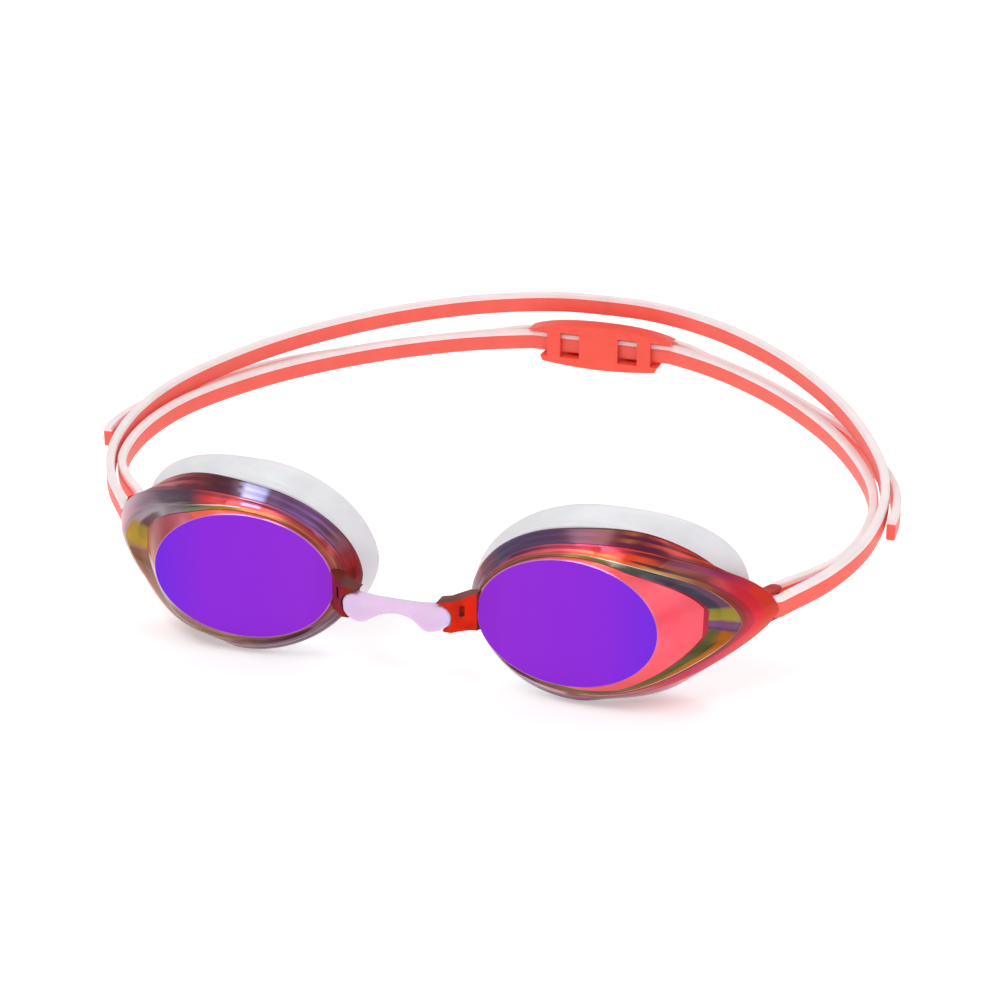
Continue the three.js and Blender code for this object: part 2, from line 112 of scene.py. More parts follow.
STRAP_WIDTH, STRAP_THICKNESS, WHITE_EDGE = 5, 2, 1.25
UPPER_REAR_HEIGHT, LOWER_REAR_HEIGHT = 21.8, 12.3
UPPER_RISE, LOWER_RISE = 2.35, 3.2
CLIP_Y, BAND_START = 142, 5
# Where each tail ends, as a share of the way from the slot bar to the back, and how far it springs away.
TAIL_END = {-1: 0.175, 1: 0.2}
TAIL_SPLAY = {-1: 1.3, 1: 0.4}
TAIL_DROP, TAIL_LIFT_AT_TIP = 0.8, 2.6
FOLD_X, TAIL_LIFT = 4, 4.6
# The upper band's middle line in plan, from beside the slot bar to just past the middle of the back.
ROUTE = [
    (78.8, 23.8), (86.4, 32.4), (91.3, 43.1), (92.8, 55), (91.6, 66.3), (88, 77.4),
    (76.7, 96.8), (63.2, 113.2), (48, 127.4), (30.4, 139.3), (12, 146.4), (-6, 147.4),
]

# The design frame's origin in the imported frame, from the solid nosepiece's reach in front of it and below.
NOSE_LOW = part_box("nosepiece")[0]
ORIGIN = Vector((0, NOSE_LOW.y - NOSE_FRONT * MM, NOSE_LOW.z - NOSE_BOTTOM * MM))


# ---- Camera, light and floor ----

def look_along(azimuth, elevation):
    """The direction that a viewer at this azimuth and elevation looks in."""
    a, e = math.radians(azimuth), math.radians(elevation)
    return Vector((-math.sin(a) * math.cos(e), math.cos(a) * math.cos(e), -math.sin(e)))


def add_camera():
    data = bpy.data.cameras.new("camera")
    data.lens = CAMERA_LENS
    camera = bpy.data.objects.new("camera", data)
    bpy.context.scene.collection.objects.link(camera)
    direction = look_along(CAMERA_AZIMUTH, CAMERA_ELEVATION)
    camera.location = ORIGIN + Vector(CAMERA_AIM) * MM - direction * CAMERA_DISTANCE
    camera.rotation_mode = "QUATERNION"
    camera.rotation_quaternion = direction.to_track_quat("-Z", "Y")
    bpy.context.scene.camera = camera


def add_softbox(name, azimuth, elevation, distance, size, watts):
    data = bpy.data.lights.new(name, "AREA")
    data.shape = "RECTANGLE"
    data.size, data.size_y = size
    data.energy = watts
    light = bpy.data.objects.new(name, data)
    bpy.context.scene.collection.objects.link(light)
    direction = look_along(azimuth, elevation)
    light.location = ORIGIN - direction * distance
    light.rotation_mode = "QUATERNION"
    light.rotation_quaternion = direction.to_track_quat("-Z", "Y")


def add_studio():
    world = bpy.data.worlds.new("studio")
    world.use_nodes = True
    background = world.node_tree.nodes["Background"]
    background.inputs["Color"].default_value = (1, 1, 1, 1)
    background.inputs["Strength"].default_value = 0.62
    bpy.context.scene.world = world
    bpy.context.scene.view_settings.view_transform = "Standard"
    add_softbox("key_softbox", -25, 60, 0.9, (0.5, 0.35), 2.2)
    add_softbox("side_softbox", 75, 35, 0.9, (0.3, 0.5), 0.8)
    add_softbox("back_softbox", 190, 40, 1.0, (0.6, 0.3), 1.2)


def add_floor():
    bpy.ops.mesh.primitive_plane_add(size=12, location=(0, 0, 0))
    floor = bpy.context.object
    floor.name = "floor"
    white = plain("floor_white", (252, 252, 253), roughness=0.5, specular=0.2)
    glow = white.node_tree.nodes["Principled BSDF"]
    glow.inputs["Emission Color"].default_value = (1, 1, 1, 1)
    glow.inputs["Emission Strength"].default_value = 0.3
    floor.data.materials.append(white)


# ---- Materials ----

TURN_WAVER = 0.016  # how far the borders between two tints wander, as a share of a turn
# How finely the painted reflection streaks vary round an eyecup and across a strip.
PAINTED_STREAKS_ROUND, PAINTED_STREAKS_ACROSS = 16, 0.9


def linear(colour):
    """An sRGB colour of 0 to 255 as linear red, green, blue and alpha."""
    shares = [c / 255 for c in colour]
    return (*[c / 12.92 if c <= 0.04045 else ((c + 0.055) / 1.055) ** 2.4 for c in shares], 1)


def plain(name, colour, roughness=0.4, metallic=0.0, specular=0.5, coat=0.0, subsurface=0.0):
    """A Principled material with one colour, whose other nodes are added by its caller."""
    material = bpy.data.materials.new(name)
    material.use_nodes = True
    shader = material.node_tree.nodes["Principled BSDF"]
    shader.inputs["Base Color"].default_value = linear(colour)
    shader.inputs["Roughness"].default_value = roughness
    shader.inputs["Metallic"].default_value = metallic
    shader.inputs["Specular IOR Level"].default_value = specular
    shader.inputs["Coat Weight"].default_value = coat
    shader.inputs["Coat Roughness"].default_value = 0.15
    shader.inputs["Subsurface Weight"].default_value = subsurface
    shader.inputs["Subsurface Scale"].default_value = 0.003
    return material


def add_node(material, kind, **settings):
    node = material.node_tree.nodes.new(kind)
    for name, value in settings.items():
        setattr(node, name, value)
    return node


def connect(material, source, target):
    material.node_tree.links.new(source, target)


def calculate(material, operation, *values):
    """A Math node whose inputs are numbers or other nodes' outputs."""
    node = add_node(material, "ShaderNodeMath", operation=operation)
    for slot, value in zip(node.inputs, values):
        if isinstance(value, (int, float)):
            slot.default_value = value
        else:
            connect(material, value, slot)
    return node.outputs[0]


def object_place(material):
    """Object coordinates, and their separate X, Y and Z."""
    place = add_node(material, "ShaderNodeTexCoord").outputs["Object"]
    split = add_node(material, "ShaderNodeSeparateXYZ")
    connect(material, place, split.inputs[0])
    return place, split.outputs[0], split.outputs[1], split.outputs[2]


def noise(material, scale, detail=2.0):
    texture = add_node(material, "ShaderNodeTexNoise")
    texture.inputs["Scale"].default_value = scale
    texture.inputs["Detail"].default_value = detail
    connect(material, object_place(material)[0], texture.inputs["Vector"])
    return texture.outputs["Fac"]


def colour_ramp(material, share, stops):
    node = add_node(material, "ShaderNodeValToRGB")
    elements = node.color_ramp.elements
    elements.remove(elements[1])
    elements[0].position = stops[0][0]
    elements[0].color = linear(stops[0][1])
    for position, colour in stops[1:]:
        elements.new(position).color = linear(colour)
    connect(material, share, node.inputs["Fac"])
    return node.outputs["Color"]


def set_base_colour(material, colour):
    connect(material, colour, material.node_tree.nodes["Principled BSDF"].inputs["Base Color"])


def add_bump(material, height, distance, strength):
    bump = add_node(material, "ShaderNodeBump")
    bump.inputs["Strength"].default_value = strength
    bump.inputs["Distance"].default_value = distance
    connect(material, height, bump.inputs["Height"])
    connect(material, bump.outputs["Normal"], material.node_tree.nodes["Principled BSDF"].inputs["Normal"])


def turn_share(material):
    """How far round an eyecup a point is: 0 at the outer point, 0.25 above, 0.5 at the nose, 0.75 below."""
    _, x, _, z = object_place(material)
    across = calculate(material, "SUBTRACT", calculate(material, "ABSOLUTE", x), CUP_X * MM)
    up = calculate(material, "SUBTRACT", z, ORIGIN.z + CUP_Z * MM)
    turn = calculate(material, "ARCTAN2", up, across)
    share = calculate(material, "DIVIDE", turn, 2 * math.pi)
    drift = calculate(material, "MULTIPLY_ADD", noise(material, 90), TURN_WAVER, 1 - TURN_WAVER / 2)
    return calculate(material, "FRACT", calculate(material, "ADD", share, drift))


def mixed(material, blend_type, share, first, second):
    """A colour Mix node of two colours or outputs."""
    node = add_node(material, "ShaderNodeMix", data_type="RGBA", blend_type=blend_type)
    for slot, value in ((node.inputs[0], share), (node.inputs[6], first), (node.inputs[7], second)):
        if isinstance(value, (int, float)):
            slot.default_value = value
        else:
            connect(material, value, slot)
    return node.outputs[2]


def painted_reflection_streaks(material, share, across):
    """Painted reflections: long lighter and darker patches along an eyecup's strips, like soft lights seen in
    its coating.
    """
    place = add_node(material, "ShaderNodeCombineXYZ")
    connect(material, calculate(material, "MULTIPLY", share, PAINTED_STREAKS_ROUND), place.inputs[0])
    connect(material, calculate(material, "MULTIPLY", across, PAINTED_STREAKS_ACROSS), place.inputs[1])
    texture = add_node(material, "ShaderNodeTexNoise")
    texture.inputs["Scale"].default_value = 1.0
    texture.inputs["Detail"].default_value = 1.0
    texture.inputs["Distortion"].default_value = 0.6
    connect(material, place.outputs[0], texture.inputs["Vector"])
    return texture.outputs["Fac"]


def coated(name, front, rear=None, roughness=0.2, metallic=0.3, coat=0.12, contrast=0.25):
    """Tinted plastic under the mirror coating.

    Its tint, which carries painted reflections of soft lights, changes round the eyecup, and from a strip's
    front edge to its rear edge, and long lighter and darker streaks of painted reflection lie over it.
    """
    material = plain(name, front[0][1], roughness=roughness, metallic=metallic, specular=0.3, coat=coat)
    share = turn_share(material)
    across_map = add_node(material, "ShaderNodeUVMap", uv_map="across")
    split = add_node(material, "ShaderNodeSeparateXYZ")
    connect(material, across_map.outputs[0], split.inputs[0])
    across = split.outputs[1]
    painted_streak = painted_reflection_streaks(material, share, across)
    colour = colour_ramp(material, share, [*front, (1, front[0][1])])
    if rear:
        rear_colour = colour_ramp(material, share, [*rear, (1, rear[0][1])])
        waver = calculate(material, "MULTIPLY_ADD", painted_streak, 0.9, -0.45)
        wavered = calculate(material, "ADD", across, waver)
        edge = colour_ramp(material, wavered, [(0.38, (0, 0, 0)), (0.6, (255, 255, 255))])
        colour = mixed(material, "MIX", edge, colour, rear_colour)
    middle = (188, 188, 188)  # soft light leaves a colour as it is where the shade is this grey
    shades = [(0.36, (0, 0, 0)), (0.44, middle), (0.56, middle), (0.64, (255, 255, 255))]
    # The streaks paint reflections into the colour: a grey darker than the middle one paints shade, a lighter
    # one paints highlight.
    shade = colour_ramp(material, painted_streak, shades)
    colour = mixed(material, "SOFT_LIGHT", contrast, colour, shade)
    set_base_colour(material, colour)
    return material


def tinted(name, colour):
    """The frame's plastic where it is one tint, a shade darker in soft patches."""
    material = plain(name, colour, roughness=0.35, specular=0.08)
    dark = tuple(c * 0.88 for c in colour)
    tint = colour_ramp(material, noise(material, 220, 1), [(0.4, dark), (0.6, colour)])
    set_base_colour(material, tint)
    return material


def window_mirror(name):
    """The violet mirror, bluer towards the outer end."""
    material = plain(name, (132, 42, 205), roughness=0.1, metallic=1.0)
    _, x, _, _ = object_place(material)
    reach = calculate(material, "ABSOLUTE", x)
    nasal_x, width = 17, 42
    share = calculate(material, "MULTIPLY_ADD", reach, 1 / (width * MM), -nasal_x / width)
    drift = calculate(material, "MULTIPLY_ADD", noise(material, 60, 1), 0.16, -0.08)
    stops = [(0.0, (132, 42, 190)), (0.15, (136, 44, 198)), (0.7, (130, 43, 203)), (1.0, (108, 44, 208))]
    colour = colour_ramp(material, calculate(material, "ADD", share, drift), stops)
    set_base_colour(material, colour)
    return material


# ---- Meshes ----

def new_mesh(name, points, faces, materials, face_materials=None, mirror=1):
    """A closed mesh object from points in millimetres in the design frame, mirrored for the left side."""
    points = np.asarray(points, float) * (mirror, 1, 1) * MM + np.array(ORIGIN)
    mesh = bpy.data.meshes.new(name)
    mesh.from_pydata(points.tolist(), [], faces)
    for material in materials:
        mesh.materials.append(material)
    if face_materials is not None:
        mesh.polygons.foreach_set("material_index", face_materials)
    mesh.polygons.foreach_set("use_smooth", [True] * len(mesh.polygons))
    shape = bmesh.new()
    shape.from_mesh(mesh)
    bmesh.ops.recalc_face_normals(shape, faces=shape.faces)
    shape.to_mesh(mesh)
    shape.free()
    piece = bpy.data.objects.new(name, mesh)
    bpy.context.scene.collection.objects.link(piece)
    return piece


def mark_sharp(piece, degrees):
    """Keeps creases of more than this angle crisp, while the facets between them shade smoothly."""
    piece.data.set_sharp_from_angle(angle=math.radians(degrees))


def ring_faces(ring_count, size, cyclic=False):
    """Quads between neighbouring rings, in order, wound so that they face out."""
    faces = []
    for ring in range(ring_count if cyclic else ring_count - 1):
        after = (ring + 1) % ring_count
        for i in range(size):
            j = (i + 1) % size
            faces.append((ring * size + i, after * size + i, after * size + j, ring * size + j))
    return faces


def modifier(piece, kind, **settings):
    made = piece.modifiers.new(kind.lower(), kind)
    for name, value in settings.items():
        setattr(made, name, value)
    return made


def applied(piece):
    """Bakes the piece's modifiers into its mesh."""
    depsgraph = bpy.context.evaluated_depsgraph_get()
    mesh = bpy.data.meshes.new_from_object(piece.evaluated_get(depsgraph))
    piece.modifiers.clear()
    piece.data = mesh
    return piece


def smoothstep(value, low, high):
    share = np.clip((np.asarray(value, float) - low) / (high - low), 0, 1)
    return share * share * (3 - 2 * share)


# ---- Eyecup rings, right-hand side ----

def egg_ring(egg, depth, limit=math.inf):
    """An ellipse whose outer half may end in a soft point, at a depth that is worked out for each point.

    The limit is the X where its outer end is cut off straight.
    """
    inner, outer, half_height, point, centre_z, rise, drop = egg
    turn = np.linspace(0, 2 * math.pi, RING_POINTS, endpoint=False)
    power = np.where(np.cos(turn) > 0, 2 / point, 1)
    across = np.sign(np.cos(turn)) * np.abs(np.cos(turn)) ** power
    up = np.sign(np.sin(turn)) * np.abs(np.sin(turn)) ** power
    reach = np.where(across > 0, outer, inner - SKEW * half_height * up) * (1 + TUCK * np.minimum(up, 0))
    x = np.minimum(CUP_X + reach * across, limit)
    z = centre_z + half_height * up
    z += rise * np.maximum(up, 0) * smoothstep(x, RISE_START, RISE_END)
    z += drop * np.minimum(up, 0) * smoothstep(x, DROP_START, DROP_END)
    return np.stack([x, depth(x, z), z], axis=1)


def window_depth(x, z):
    """The window is flat. Its nasal end is further back, and it leans back at the top."""
    return -math.tan(LENS_WRAP) * (x - LENS_X) + math.tan(LENS_LEAN) * z


def window_ring(inset, setback):
    """The window's oval, smaller by the inset and further back by the setback."""
    turn = np.linspace(0, 2 * math.pi, RING_POINTS, endpoint=False)
    u = (LENS_HALF_WIDTH - inset) * np.cos(turn)
    v = (LENS_HALF_HEIGHT - inset) * np.sin(turn)
    x = LENS_X + u * math.cos(LENS_ROLL) - v * math.sin(LENS_ROLL)
    z = u * math.sin(LENS_ROLL) + v * math.cos(LENS_ROLL)
    return np.stack([x, window_depth(x, z) + setback, z], axis=1)


def rim_depth(x, z):
    """The rim runs back on both sides of the eye, to fit round the face."""
    u = (x - CUP_X) / HALF_SPAN
    curve = np.where(u > 0, RIM_CURVE_OUTER, RIM_CURVE_NASAL)
    return RIM_DEPTH + RIM_SLOPE * u + curve * u * u + RIM_LEAN * z


def rear_depth(x, z):
    """The rim's rear face: it runs further back below the outer half."""
    return rim_depth(x, z) + RIM_LOW_RUN_BACK * np.maximum(0, -z) * smoothstep(x, 40, 58)


def plate_depth(x, z):
    """The front plate's edge, which runs back to the rim's depth at the outer point."""
    beside_rim = rim_depth(x, z) - RIM_SIDE_DEPTH + PLATE_RUN_BACK * smoothstep(x, 58, 78)
    return np.maximum(beside_rim, window_depth(x, z) + PLATE_BEHIND_WINDOW)


def seal_depth(x, z):
    """Where the gasket meets the skin."""
    u = (x - SEAL_CENTRE_X) / HALF_SPAN
    return SEAL_DEPTH + SEAL_SLOPE * u + SEAL_CURVE * u * u + SEAL_LEAN * z


def facet_depth(share, offset):
    """Depth of the sloping side facets: shallow round the lens, running back with the rim at the point."""
    def depth(x, z):
        near = window_depth(np.minimum(x, LENS_X + LENS_HALF_WIDTH), z) + offset
        return near + (rim_depth(x, z) - RIM_SIDE_DEPTH - near) * share * smoothstep(x, 42, 67)
    return depth


def inner_leaf_depth(offset):
    """The flat panel beside the window falls back steeply from the window's outer end."""
    def depth(x, z):
        near = window_depth(np.minimum(x, LENS_X + LENS_HALF_WIDTH), z) + offset
        return near + LEAF_FALL * np.maximum(0, x - 50) ** 1.5
    return depth


def widened(egg, by):
    """The same egg, larger all round."""
    return (egg[0] + by, egg[1] + by, egg[2] + by, *egg[3:])


def between(a, b, share):
    return a + (b - a) * share


# ---- The eyecup ----

def eyecup_shell(name, mirror, materials):
    """One moulding: mirrored window, panel beside it, outer facets, frame, rim and the hollow behind."""
    def deeper(depth, by):
        return lambda x, z: depth(x, z) + by

    def wall_depth(share):
        return lambda x, z: between(plate_depth(x, z), rear_depth(x, z), share)

    def wall_egg(share):
        return tuple(between(np.array(PLATE), np.array(RIM), share))

    def cavity_front(x, z):
        return np.maximum(rim_depth(x, z) - CAVITY_DEPTH, window_depth(x, z) + LENS_THICKNESS + 0.6)

    panel_foot = (INNER_LEAF[0] + 0.1, INNER_LEAF[1] + 0.5, INNER_LEAF[2] + 0.1, *INNER_LEAF[3:])
    (
        mirror_face, window_edge_highlight, panel, panel_wall, facets, highlight_line, band, plate, wall, inside, inner_window,
    ) = range(len(materials))
    # Each row is a ring and the material of the strip that follows it.
    rows = [
        # The strip that follows this ring is the window's thin bevel, painted a pink highlight.
        (window_ring(0, 0), window_edge_highlight),
        (window_ring(-0.22, 0.2), panel),
        (egg_ring(INNER_LEAF, inner_leaf_depth(0.7), PANEL_END), panel_wall),
        (egg_ring(panel_foot, inner_leaf_depth(0.9), PANEL_END + 0.9), facets),
        # The thin strip that follows this ring is a painted highlight line along the crease.
        (egg_ring(OUTER_LEAF, facet_depth(0.92, 1.2)), highlight_line),
        (egg_ring(widened(OUTER_LEAF, 0.12), facet_depth(0.92, 1.3)), band),
        (egg_ring(LEDGE, facet_depth(0.98, 1.9)), plate),
        (egg_ring(widened(PLATE, -0.25), deeper(plate_depth, -0.1)), plate),
        (egg_ring(PLATE, deeper(plate_depth, 0.15)), wall),
        (egg_ring(widened(PLATE, -0.05), deeper(plate_depth, 0.6)), wall),
        (egg_ring(wall_egg(0.5), wall_depth(0.5)), wall),
        (egg_ring(widened(RIM, -0.15), deeper(rear_depth, -0.7)), wall),
        (egg_ring(RIM, deeper(rear_depth, -0.25)), wall),
        (egg_ring(widened(RIM, -0.25), rear_depth), inside),
        (egg_ring(CAVITY, rear_depth), inside),
        (egg_ring(CAVITY, cavity_front), inside),
        (window_ring(1.6, LENS_THICKNESS), inside),
    ]
    points = np.concatenate([row[0] for row in rows])
    faces = ring_faces(len(rows), RING_POINTS)
    slots = [row[1] for row in rows[:-1] for _ in range(RING_POINTS)]
    last = (len(rows) - 1) * RING_POINTS
    faces += [tuple(range(RING_POINTS)), tuple(range(last + RING_POINTS - 1, last - 1, -1))]
    slots += [mirror_face, inner_window]
    piece = new_mesh(name, points, faces, materials, slots, mirror)
    mark_across(piece)
    mark_sharp(piece, 20)
    return piece


def mark_across(piece):
    """Stores how far each corner is across its strip, from 0 on the front ring to 1 on the rear one."""
    layer = piece.data.uv_layers.new(name="across")
    for polygon in piece.data.polygons:
        strip = polygon.index // RING_POINTS
        for corner in polygon.loop_indices:
            ring = piece.data.loops[corner].vertex_index // RING_POINTS
            layer.data[corner].uv = (0.5, min(max(ring - strip, 0), 1))


def prism(name, outline, low, high, axis, materials, mirror):
    """A closed prism through an outline, in XZ when it runs along Y and in XY when it runs along Z."""
    count = len(outline)
    points = []
    for level in (low, high):
        for a, b in outline:
            points.append((a, level, b) if axis == "Y" else (a, b, level))
    faces = [(i, (i + 1) % count, count + (i + 1) % count, count + i) for i in range(count)]
    faces += [tuple(range(count - 1, -1, -1)), tuple(range(count, 2 * count))]
    return new_mesh(name, points, faces, materials, mirror=mirror)


def cut(piece, tool, operation):
    """Cuts the piece with a tool that is then thrown away."""
    modifier(piece, "BOOLEAN", operation=operation, object=tool, solver="EXACT")
    applied(piece)
    bpy.data.objects.remove(tool)


def arc(centre, radius, start, end, steps):
    """Points of an arc from one angle to another, in degrees."""
    turns = np.radians(np.linspace(start, end, steps))
    return [(centre[0] + radius * math.cos(t), centre[1] + radius * math.sin(t)) for t in turns]


def nose_fork(name, mirror, materials):
    """The fork that holds the nosepiece, with the small snap window over its tongue."""
    throat = arc(PAD, PAD_RADIUS + 0.2, -72, 72, 25)
    below = bezier((17.4, -6), (16.8, -5), (15, -4.6), (11.2, -4.6), 14)
    above = bezier((9.2, 1.9), (12.5, 2.8), (15.5, 2.7), (17.4, 3.6), 18)
    outline = [*map(tuple, below), (10.7, -4.4), *throat, *map(tuple, above)]
    piece = prism(name, outline, -3.4, 5, "Y", materials, mirror)
    plan = [(6, -3.4), (12.7, -3.4), (16.9, 1.4), (17.4, 4.2), (14.5, 4.2), (11.5, 0.8), (6, 0.6)]
    cut(piece, prism("plan", plan, -10, 10, "Z", materials, mirror), "INTERSECT")
    window = arc((14.5, 0.9), 0.45, 0, 180, 9) + arc((14.5, -0.9), 0.45, 180, 360, 9)
    cut(piece, prism("window", window, -5, -0.3, "Y", materials, mirror), "DIFFERENCE")
    modifier(piece, "BEVEL", width=0.25 * MM, segments=3, angle_limit=math.radians(35))
    applied(piece)
    # The faces that look forward take the first finish, and the edges and the back the second.
    for face in piece.data.polygons:
        looks_forward = face.normal.y <= -0.3 and abs(face.normal.z) <= 0.5
        face.material_index = 0 if looks_forward else 1
    mark_sharp(piece, 35)
    return piece


def strap_bar(name, mirror, materials):
    """Two ears behind the outer point, with the upright bar between them."""
    length = math.hypot(BAR_X - EAR_X, BAR_Y - EAR_Y)
    outline = [(0, -EAR_HALF_WIDTH), *arc((length, 0), EAR_HALF_WIDTH, -90, 90, 17), (0, EAR_HALF_WIDTH)]
    turn = math.atan2(BAR_Y - EAR_Y, BAR_X - EAR_X)
    plan = [
        (EAR_X + a * math.cos(turn) - b * math.sin(turn), EAR_Y + a * math.sin(turn) + b * math.cos(turn))
        for a, b in outline
    ]
    half_slot = STRAP_WIDTH / 2 + GAP / 2
    post = arc((BAR_X, BAR_Y), BAR_RADIUS, 0, 345, 24)
    half_post = half_slot + 0.3
    pieces = [prism(name, post, BAR_Z - half_post, BAR_Z + half_post, "Z", materials, mirror)]
    for low in (BAR_Z + half_slot, BAR_Z - half_slot - EAR_THICKNESS):
        ear = prism("ear", plan, low, low + EAR_THICKNESS, "Z", materials, mirror)
        modifier(ear, "BEVEL", width=0.25 * MM, segments=3, angle_limit=math.radians(35))
        pieces.append(applied(ear))
    return joined(pieces)


def joined(pieces):
    """All the pieces as one object, with its creases crisp."""
    bpy.ops.object.select_all(action="DESELECT")
    for piece in pieces:
        piece.select_set(True)
    bpy.context.view_layer.objects.active = pieces[0]
    bpy.ops.object.join()
    mark_sharp(pieces[0], 35)
    return pieces[0]


# ---- The gasket ----

def gasket(name, mirror, materials):
    """A soft hollow seal that flares from the frame to the skin, with a rounded rolled lip."""
    def toward_skin(share, back=0.0):
        return lambda x, z: between(rear_depth(x, z) + 0.2, seal_depth(x, z), share) + back

    def profile(share):
        return tuple(between(np.array(SEAL_FRONT), np.array(SEAL_REAR), share))

    rings = [
        egg_ring(widened(SEAL_FRONT, 0.3), toward_skin(0)),
        egg_ring(widened(SEAL_FRONT, 0.8), toward_skin(0.05)),
        egg_ring(widened(SEAL_FRONT, 0.8), toward_skin(0.12)),
        egg_ring(profile(0.1), toward_skin(0.17)),
        egg_ring(profile(0.3), toward_skin(0.4)),
        egg_ring(profile(0.85), toward_skin(0.66)),
        egg_ring(widened(SEAL_REAR, 0.2), toward_skin(0.84)),
        egg_ring(widened(SEAL_REAR, -0.1), toward_skin(0.95)),
        egg_ring(widened(SEAL_REAR, -1.2), toward_skin(1, 0.1)),
        egg_ring(widened(SEAL_REAR, -SEAL_LIP + 0.6), toward_skin(1, 0.2)),
        egg_ring(widened(SEAL_REAR, -SEAL_LIP - 0.3), toward_skin(0.95)),
        egg_ring(widened(SEAL_REAR, -SEAL_LIP - 0.2), toward_skin(0.82)),
        egg_ring(widened(profile(0.35), -SEAL_WALL), toward_skin(0.45)),
        egg_ring(widened(SEAL_FRONT, -SEAL_WALL), toward_skin(0.06)),
        egg_ring(widened(SEAL_FRONT, -SEAL_WALL + 0.4), toward_skin(0)),
    ]
    faces = ring_faces(len(rings), RING_POINTS, cyclic=True)
    piece = new_mesh(name, np.concatenate(rings), faces, materials, mirror=mirror)
    modifier(piece, "SUBSURF", levels=1, render_levels=1)
    return applied(piece)


# ---- The nosepiece ----

def bezier(a, b, c, d, steps):
    t = np.linspace(0, 1, steps)[:, None]
    a, b, c, d = (np.array(point, float) for point in (a, b, c, d))
    return (1 - t) ** 3 * a + 3 * t * (1 - t) ** 2 * b + 3 * t * t * (1 - t) * c + t ** 3 * d


def nosepiece_outline():
    """The right half from the middle of the bridge round to the middle below, then its mirror image."""
    top = bezier((0, 0.6), (4, 0.6), (6, 0.6), (10.1, 1.3), 16)
    end = np.array(arc(PAD, PAD_RADIUS, 84, -35, 22))
    corner = bezier(end[-1], (11.2, -3.9), (9.5, NOSE_BOTTOM), (7.8, NOSE_BOTTOM), 12)
    below = bezier((7.8, NOSE_BOTTOM), (6, NOSE_BOTTOM), (4.6, -2.2), (0, -2.2), 22)
    right = np.concatenate([top[:-1], end[:-1], corner[:-1], below])
    left = right[-2:0:-1] * (-1, 1)
    return np.concatenate([right, left])


def leaned(point):
    """The lobes under the nosepiece stand a little forward of its bridge."""
    x, y, z = point
    return (x, y + LOBE_LEAN * min(z - LOBE_TOP, 0), z)


def inset_outline(outline, by):
    """The outline moved inwards along its normals."""
    along = np.roll(outline, -1, axis=0) - np.roll(outline, 1, axis=0)
    along /= np.linalg.norm(along, axis=1)[:, None]
    inward = np.stack([along[:, 1], -along[:, 0]], axis=1)
    return outline + inward * by


def nosepiece(materials):
    """A soft arched bridge with a lobe at each end, fully rounded at its edges."""
    outline = nosepiece_outline()
    rounded = [
        (NOSE_ROUNDING * (1 - math.cos(turn)), NOSE_ROUNDING * (1 - math.sin(turn)))
        for turn in np.radians(np.linspace(90, 0, 8))
    ]
    rings = [(inset, NOSE_FRONT + setback) for inset, setback in rounded]
    rings += [(inset, NOSE_BACK - setback) for inset, setback in reversed(rounded)]
    points = []
    for inset, y in rings:
        points += [leaned((x, y, z)) for x, z in inset_outline(outline, inset)]
    size = len(outline)
    faces = ring_faces(len(rings), size)
    last = (len(rings) - 1) * size
    faces += [tuple(range(size)), tuple(range(last + size - 1, last - 1, -1))]
    return new_mesh("soft_nosepiece", points, faces, materials)


# ---- The strap ----

def catmull_rom(points, steps=60):
    """A centripetal Catmull-Rom curve through plan points, in fine steps."""
    points = np.array(points, float)
    ends = (2 * points[0] - points[1], 2 * points[-1] - points[-2])
    padded = np.concatenate([[ends[0]], points, [ends[1]]])
    curve = []
    for a, b, c, d in zip(padded, padded[1:], padded[2:], padded[3:]):
        knots = np.cumsum([0] + [np.linalg.norm(q - p) ** 0.5 for p, q in ((a, b), (b, c), (c, d))])
        for t in np.linspace(knots[1], knots[2], steps, endpoint=False):
            ab = a + (b - a) * (t - knots[0]) / (knots[1] - knots[0])
            bc = b + (c - b) * (t - knots[1]) / (knots[2] - knots[1])
            cd = c + (d - c) * (t - knots[2]) / (knots[3] - knots[2])
            abc = ab + (bc - ab) * (t - knots[0]) / (knots[2] - knots[0])
            bcd = bc + (cd - bc) * (t - knots[1]) / (knots[3] - knots[1])
            curve.append(abc + (bcd - abc) * (t - knots[1]) / (knots[2] - knots[1]))
    return np.array(curve)


CURVE = catmull_rom(ROUTE)
CURVE = CURVE[CURVE[:, 0] >= 0]
CURVE_LENGTHS = np.concatenate([[0], np.cumsum(np.linalg.norm(np.diff(CURVE, axis=0), axis=1))])
ROUTE_LENGTH = CURVE_LENGTHS[-1]
LOOP_RADIUS = BAR_RADIUS + 0.3 + STRAP_THICKNESS / 2  # of the strap's middle line round the bar
LAYER_PITCH = STRAP_THICKNESS + GAP  # from one layer's middle line to the next one's
SEAM_GAP = 0.005  # keeps the two halves of the upper band from sharing a face where the loop is opened


def on_route(distance):
    """The plan point at a distance from the slot bar, and the direction that points away from the head."""
    place = np.array([np.interp(distance, CURVE_LENGTHS, CURVE[:, axis]) for axis in (0, 1)])
    ahead = np.array([np.interp(distance + 0.2, CURVE_LENGTHS, CURVE[:, axis]) for axis in (0, 1)])
    behind = np.array([np.interp(distance - 0.2, CURVE_LENGTHS, CURVE[:, axis]) for axis in (0, 1)])
    along = (ahead - behind) / np.linalg.norm(ahead - behind)
    return place, np.array([along[1], -along[0]]), along


def band_height(distance, rear_height, rise):
    """A band rises from the slot bar's height to its own height behind the head, and levels off there."""
    return BAR_Z + (rear_height - BAR_Z) * (1 - (1 - min(distance / ROUTE_LENGTH, 1)) ** rise)


def upper_point(distance):
    place, outward, _ = on_route(distance)
    return (*place, band_height(distance, UPPER_REAR_HEIGHT, UPPER_RISE)), outward


